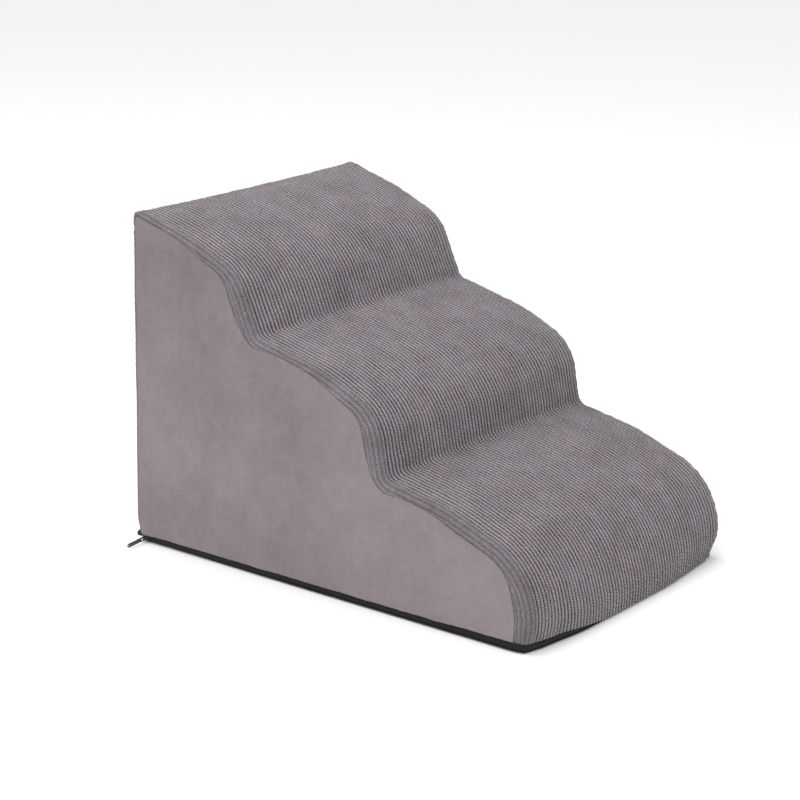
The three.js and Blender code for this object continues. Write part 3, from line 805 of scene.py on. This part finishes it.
def makeBackPanel():
    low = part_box("back_panel")[0].z
    start, end = alongAtHeight(low, False), alongAtHeight(backSeamZ, False) - 0.6 * mm
    along = np.linspace(start, end, backPanel["rows"])
    share = np.linspace(-1, 1, backPanel["columns"])
    across = (seamReach(along)[:, None] - seamGap) * share[None]
    cornerRise = (hemZ - low) * smoothStep(halfWidth - 14 * mm, halfWidth + 1 * mm, np.abs(across))
    alongs = along[:, None] + cornerRise * (end - along[:, None]) / (end - start)
    points, normals = overCover(alongs, across)
    heights = backPanel["ripple"] * (wander(points, 80 * mm, 51) * 0.6 + wander(points, 30 * mm, 52) * 0.25)
    points = points + normals * heights[..., None]
    for axis in (0, 1):
        for atEnd in (False, True):
            points, normals = rollEdge(points, normals, axis, atEnd)
    maps = padGrid(np.stack([across, alongs], axis=-1), (3, 3), (3, 3))
    piece = clothFromGrid("backPlush", settle(points), normals, maps)
    wear(piece, "smoothPlush", "plush_cloth")
    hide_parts("back_panel")
    print(f"back panel: {len(piece.data.polygons)} faces")


# base cloth and its dots

baseCloth = {
    "cornerRound": 11 * mm, "backCornerRound": 6.5 * mm, "bottomRound": 3.6 * mm,
    "lift": 0.8 * mm, "backCurl": 3.0 * mm, "thickness": 1.0 * mm,
    "turnUp": (8 * mm, 6 * mm),  # what the cut adds to the footprint's length and width
}
baseDots = {"pitch": 14 * mm, "radius": 2.0 * mm, "margin": 13 * mm}


def tray(inset):
    # rounded rectangle of the footprint, moved in by the inset
    points = []
    for quarter, (signX, signY) in enumerate(((1, 1), (-1, 1), (-1, -1), (1, -1))):
        turn = baseCloth["cornerRound"] if signX > 0 else baseCloth["backCornerRound"]
        corner = np.array([(frontX if signX > 0 else backX) - signX * turn, signY * (halfWidth - turn)])
        bend = [corner + (turn - inset) * np.array([math.cos(angle), math.sin(angle)])
                for angle in np.linspace(quarter, quarter + 1, 13) * math.pi / 2]
        if points:
            points += list(np.linspace(points[-1], bend[0], 61)[1:-1])
        points += bend
    points += list(np.linspace(points[-1], points[0], 61)[1:])
    return np.array(points)


def makeBaseCloth():
    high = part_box("non_slip_base_panel")[1]
    lift, outer, inner = baseCloth["lift"], tray(0.0), tray(1.0 * mm)
    curl = baseCloth["backCurl"] * smoothStep(0, backX, outer[:, 0])
    bend = baseCloth["bottomRound"] - lift + curl
    rim = np.where(outer[:, 0] > backX + 7 * mm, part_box("zip_coil_lower")[0].z - 1.9 * mm, high.z)
    rings, heights = [], []
    for share in np.linspace(0, 1, 10):
        level = (rim - lift) * (1 - share) ** 1.6
        lean = 1 - np.clip(level / bend, 0, 1)
        rings.append(outer + (inner - outer) / mm * (bend * (1 - np.sqrt(1 - lean ** 2)))[:, None])
        heights.append(lift + level)
    spine = np.stack([np.clip(outer[:, 0], backX + halfWidth, frontX - halfWidth), outer[:, 1] * 0], axis=1)
    edge = rings[-1]
    for share in np.linspace(0, 1, 9)[1:]:
        rings.append(edge * (1 - share) + spine * share)
        heights.append(bend * 0 + lift)
    heights = np.array(heights)
    points = np.concatenate([np.array(rings), heights[..., None]], axis=2)
    down = np.repeat(np.array([[[0.0, 0.0, -1.0]]]), points.shape[0], axis=0) * np.ones(points.shape)
    piece = clothFromGrid("nonSlipBase", points + tuckAt(points), down, points[..., :2])
    mesh = piece.data
    selectOnly(piece)
    bpy.ops.object.mode_set(mode="EDIT")
    bpy.ops.mesh.select_all(action="SELECT")
    bpy.ops.mesh.remove_doubles(threshold=0.02 * mm)
    bpy.ops.mesh.normals_make_consistent(inside=False)
    bpy.ops.object.mode_set(mode="OBJECT")
    underside = max(mesh.polygons, key=lambda face: -face.center.z - abs(face.center.x))
    if underside.normal.z > 0:
        mesh.flip_normals()
    applyModifier(piece, "SOLIDIFY", thickness=baseCloth["thickness"], offset=-1)
    mesh.shade_smooth()
    wear(piece, "baseCloth", "non_slip_cloth")
    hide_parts("non_slip_base_panel")
    print(f"base cloth: {len(mesh.polygons)} faces")


def makeBaseDots():
    margin, pitch = baseDots["margin"], baseDots["pitch"]
    bpy.ops.object.select_all(action="DESELECT")
    height = baseCloth["lift"] + 0.2 * mm
    bpy.ops.mesh.primitive_uv_sphere_add(segments=10, ring_count=6, radius=1,
                                         location=(backX + margin, -halfWidth + margin, height),
                                         scale=(baseDots["radius"], baseDots["radius"], height))
    dots = bpy.context.object
    dots.name = "nonSlipDots"
    bpy.ops.object.transform_apply(location=True, rotation=True, scale=True)
    bpy.ops.object.mode_set(mode="EDIT")
    bpy.ops.mesh.select_all(action="SELECT")
    bpy.ops.mesh.bisect(plane_co=(0, 0, height), plane_no=(0, 0, 1), clear_outer=True)
    bpy.ops.object.mode_set(mode="OBJECT")
    repeatAlong(dots, (pitch / 2, pitch / 2, 0), 2)
    repeatAlong(dots, (pitch, 0, 0), int((frontX - backX - 2 * margin) / pitch))
    repeatAlong(dots, (0, pitch, 0), int((2 * halfWidth - 2 * margin) / pitch))
    bpy.ops.object.shade_smooth()
    wear(dots, "rubber", "non_slip_cloth")
    print(f"non-slip dots: {len(dots.data.polygons)} faces")


# zip

zipSetup = {
    "coilDepth": 1.8 * mm,
    "tapeDepth": 2.9 * mm, "tapeThickness": 0.55 * mm, "tapeUnder": 9.0 * mm, "tapeStep": 2.5 * mm,
    "toothPitch": 1.3 * mm, "toothSize": (0.82 * mm, 1.5 * mm), "toothReach": 0.25 * mm, "toothSlant": 9,
    # the tape's end past the back corner, out and in
    "tail": ((4 * mm, 0.2 * mm), (2 * mm, 0.6 * mm), (-0.5 * mm, 1.2 * mm), (-3 * mm, 2.2 * mm)),
}


def wallPath(startX, depth, spacing):
    # points and outward directions along the left side, the front and the right side
    turn = edgeRound - depth
    straight = frontX - edgeRound - startX
    corner = turn * math.pi / 2
    front = 2 * flatHalf
    total = 2 * straight + 2 * corner + front
    places, outs = [], []
    for run in np.arange(0, total, spacing):
        mirrored = run > total / 2
        side = min(run, total - run)
        if side < straight:
            place, out = (startX + side, -halfWidth + depth), (0.0, -1.0)
        elif side < straight + corner:
            angle = (side - straight) / turn
            out = (math.sin(angle), -math.cos(angle))
            place = (frontX - edgeRound + turn * out[0], -flatHalf + turn * out[1])
        else:
            place, out = (frontX - depth, -flatHalf + side - straight - corner), (1.0, 0.0)
        flip = -1 if mirrored else 1
        places.append((place[0], place[1] * flip))
        outs.append((out[0], out[1] * flip))
    return np.array(places), np.array(outs)


def makeTape(name, node, heights, insets, tail=()):
    places, outs = wallPath(zipEndX, zipSetup["tapeDepth"], zipSetup["tapeStep"])
    places = np.concatenate([np.array(tail).reshape(-1, 2), places])
    outs = np.concatenate([np.repeat(outs[:1], len(tail), axis=0), outs])
    flat = places[None] - outs[None] * np.array(insets)[:, None, None]
    spread = np.minimum(1, 0.35 + 0.65 * np.arange(len(places)) / max(1, len(tail)))
    levels = heights[0] + (np.array(heights) - heights[0])[:, None] * spread[None]
    points = np.concatenate([flat, levels[..., None]], axis=2)
    normals = np.repeat(np.concatenate([outs, np.zeros((len(outs), 1))], axis=1)[None], len(heights), axis=0)
    along = np.arange(len(places)) * zipSetup["tapeStep"]
    maps = np.stack(np.broadcast_arrays(along[None], np.array(heights)[:, None]), axis=-1)
    tape = clothFromGrid(name, points + tuckAt(points), normals, maps)
    applyModifier(tape, "SOLIDIFY", thickness=zipSetup["tapeThickness"], offset=-1)
    wear(tape, "tapeCloth", "zip_tape")
    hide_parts(node)
    return tape


def makeTapes():
    upper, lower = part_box("zip_tape_upper"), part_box("zip_tape_lower")
    under = lower[0].z
    makeTape("zipTapeUpperCloth", "zip_tape_upper", list(np.linspace(upper[0].z, upper[1].z, 6)), [0] * 6,
             [(backX - out, -halfWidth + depth) for out, depth in zipSetup["tail"]])
    turn = [(lower[1].z, 0), (under + 1.0 * mm, 0), (under + 0.4 * mm, 0.2 * mm),
            (under + 0.1 * mm, 0.7 * mm), (under, 1.4 * mm),
            (under, zipSetup["tapeUnder"] / 2), (under, zipSetup["tapeUnder"])]
    makeTape("zipTapeLowerCloth", "zip_tape_lower", [z for z, _ in turn], [inset for _, inset in turn])
    print("zip tapes laid")


def layAlongWall(piece, startX, depth, pitch, level):
    # repeats a small piece along the left side, the front and the right side
    places, _ = wallPath(startX, depth, 1.5 * mm)
    bpy.ops.object.select_all(action="DESELECT")
    bpy.ops.curve.primitive_bezier_curve_add()
    path = bpy.context.object
    path.data.dimensions = "2D"
    path.data.splines.clear()
    line = path.data.splines.new("POLY")
    line.points.add(len(places) - 1)
    for point, place in zip(line.points, places):
        point.co = (*place, 0, 1)
    length = np.linalg.norm(np.diff(places, axis=0), axis=1).sum()
    repeatAlong(piece, (pitch, 0, 0), int(length / pitch))
    applyModifier(piece, "CURVE", object=path, deform_axis="POS_X")
    bpy.data.objects.remove(path)
    points = pointsOf(piece.data) + [0, 0, level]
    setPoints(piece.data, points + tuckAt(points))
    piece.data.shade_smooth()


def makeTeeth(name, node, towards):
    # one turn of the coil is a slim slanted bar across its row, rounded at its edges
    low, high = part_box(node)
    length = high.z - low.z + zipSetup["toothReach"]
    middle = (low.z + high.z) / 2 + towards * zipSetup["toothReach"] / 2
    bpy.ops.object.select_all(action="DESELECT")
    bpy.ops.mesh.primitive_cube_add(size=1, scale=(*zipSetup["toothSize"], length))
    tooth = bpy.context.object
    tooth.name = name
    bpy.ops.object.transform_apply(location=True, rotation=True, scale=True)
    applyModifier(tooth, "BEVEL", width=0.26 * mm, segments=1, limit_method="NONE")
    shape = pointsOf(tooth.data)
    shift = 0.4 * mm + (zipSetup["toothPitch"] / 2 if towards > 0 else 0)
    shape[:, 0] += shape[:, 2] * math.tan(math.radians(zipSetup["toothSlant"]) * towards) + shift
    setPoints(tooth.data, shape)
    layAlongWall(tooth, coilStartX, zipSetup["coilDepth"], zipSetup["toothPitch"], middle)
    wear(tooth, "nylon", "zip_coil")
    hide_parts(node)
    print(f"{name}: {len(tooth.data.polygons)} faces")


# stitches along the lower edges

stitchSetup = {
    "spacing": 3.2 * mm, "length": 2.5 * mm, "radius": 0.26 * mm, "endMargin": 10 * mm,
    "upperDepth": 2.6 * mm, "lowerDepth": 8.2 * mm, "overBackHem": 1.6 * mm, "backDepth": 0.2 * mm,
}


def makeStitch(name):
    bpy.ops.object.select_all(action="DESELECT")
    bpy.ops.mesh.primitive_uv_sphere_add(segments=6, ring_count=5, radius=1, rotation=(0, math.pi / 2, 0))
    stitch = bpy.context.object
    stitch.name = name
    bpy.ops.object.transform_apply(location=True, rotation=True, scale=True)
    size = np.array([stitchSetup["length"] / 2, stitchSetup["radius"], stitchSetup["radius"]])
    setPoints(stitch.data, pointsOf(stitch.data) * size)
    return stitch


def makeStitches():
    spacing = stitchSetup["spacing"]
    for name, node, depth in (("zipUpperStitches", "thread_zip_upper", stitchSetup["upperDepth"]),
                              ("zipLowerStitches", "thread_zip_lower", stitchSetup["lowerDepth"])):
        low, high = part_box(node)
        row = makeStitch(name)
        layAlongWall(row, low.x + spacing, depth, spacing, (low.z + high.z) / 2)
        wear(row, "thread", "sewing_thread")
        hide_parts(node)
    row = makeStitch("baseBackStitches")
    end = halfWidth - stitchSetup["endMargin"]
    points = pointsOf(row.data)[:, [1, 0, 2]] * [-1, 1, 1]
    points += [backX + stitchSetup["backDepth"], -end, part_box("back_panel")[0].z + stitchSetup["overBackHem"]]
    setPoints(row.data, points)
    repeatAlong(row, (0, spacing, 0), int(2 * end / spacing))
    points = pointsOf(row.data)
    setPoints(row.data, points + tuckAt(points))
    row.data.shade_smooth()
    wear(row, "thread", "sewing_thread")
    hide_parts("thread_base_back_seam")
    print("stitches sewn")


# cast and stamped metal pieces of the zip

castPieces = {  # CAD node: name, body, voxel and rounds of smoothing
    "slider_body": ("zipSliderCast", "slider", 0.16 * mm, 3),
    "pull_tab": ("pullTabCast", "pull_tab", 0.18 * mm, 3),
    "zip_top_stop_upper": ("topStopUpper", "ramp", 0.12 * mm, 4),
    "zip_top_stop_lower": ("topStopLower", "ramp", 0.12 * mm, 4),
    "zip_bottom_stop": ("bottomStop", "ramp", 0.12 * mm, 4),
}


def makeCastPieces():
    for node, (name, body, voxel, rounds) in castPieces.items():
        piece = takeCopy(node, name)
        applyModifier(piece, "REMESH", mode="VOXEL", voxel_size=voxel)
        applyModifier(piece, "SMOOTH", factor=0.5, iterations=rounds)
        piece.data.shade_smooth()
        wear(piece, "enamel", "zip_metal", body)
        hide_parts(node)
    print("slider, pull tab and stops cast")


# pieces kept from the CAD

def dressKeptNodes():
    looks = {"foam_core": "foam"}
    for name in nodes:
        if name.startswith("thread"):
            looks[name] = "thread"
    for name, finish in looks.items():
        nodes[name].data.materials.clear()
        nodes[name].data.materials.append(finishes[finish])
    print("foam and threads dressed")


placeCamera()
placeFloorAndLights()
print("camera, floor and lights placed")
makeRibbedTop()
makeSidePanel("leftSidePlush", "left_side_panel", -1)
makeSidePanel("rightSidePlush", "right_side_panel", 1)
makeBackPanel()
makeBaseCloth()
makeBaseDots()
makeTapes()
makeTeeth("zipTeethUpper", "zip_coil_upper", -1)
makeTeeth("zipTeethLower", "zip_coil_lower", 1)
makeStitches()
makeCastPieces()
dressKeptNodes()
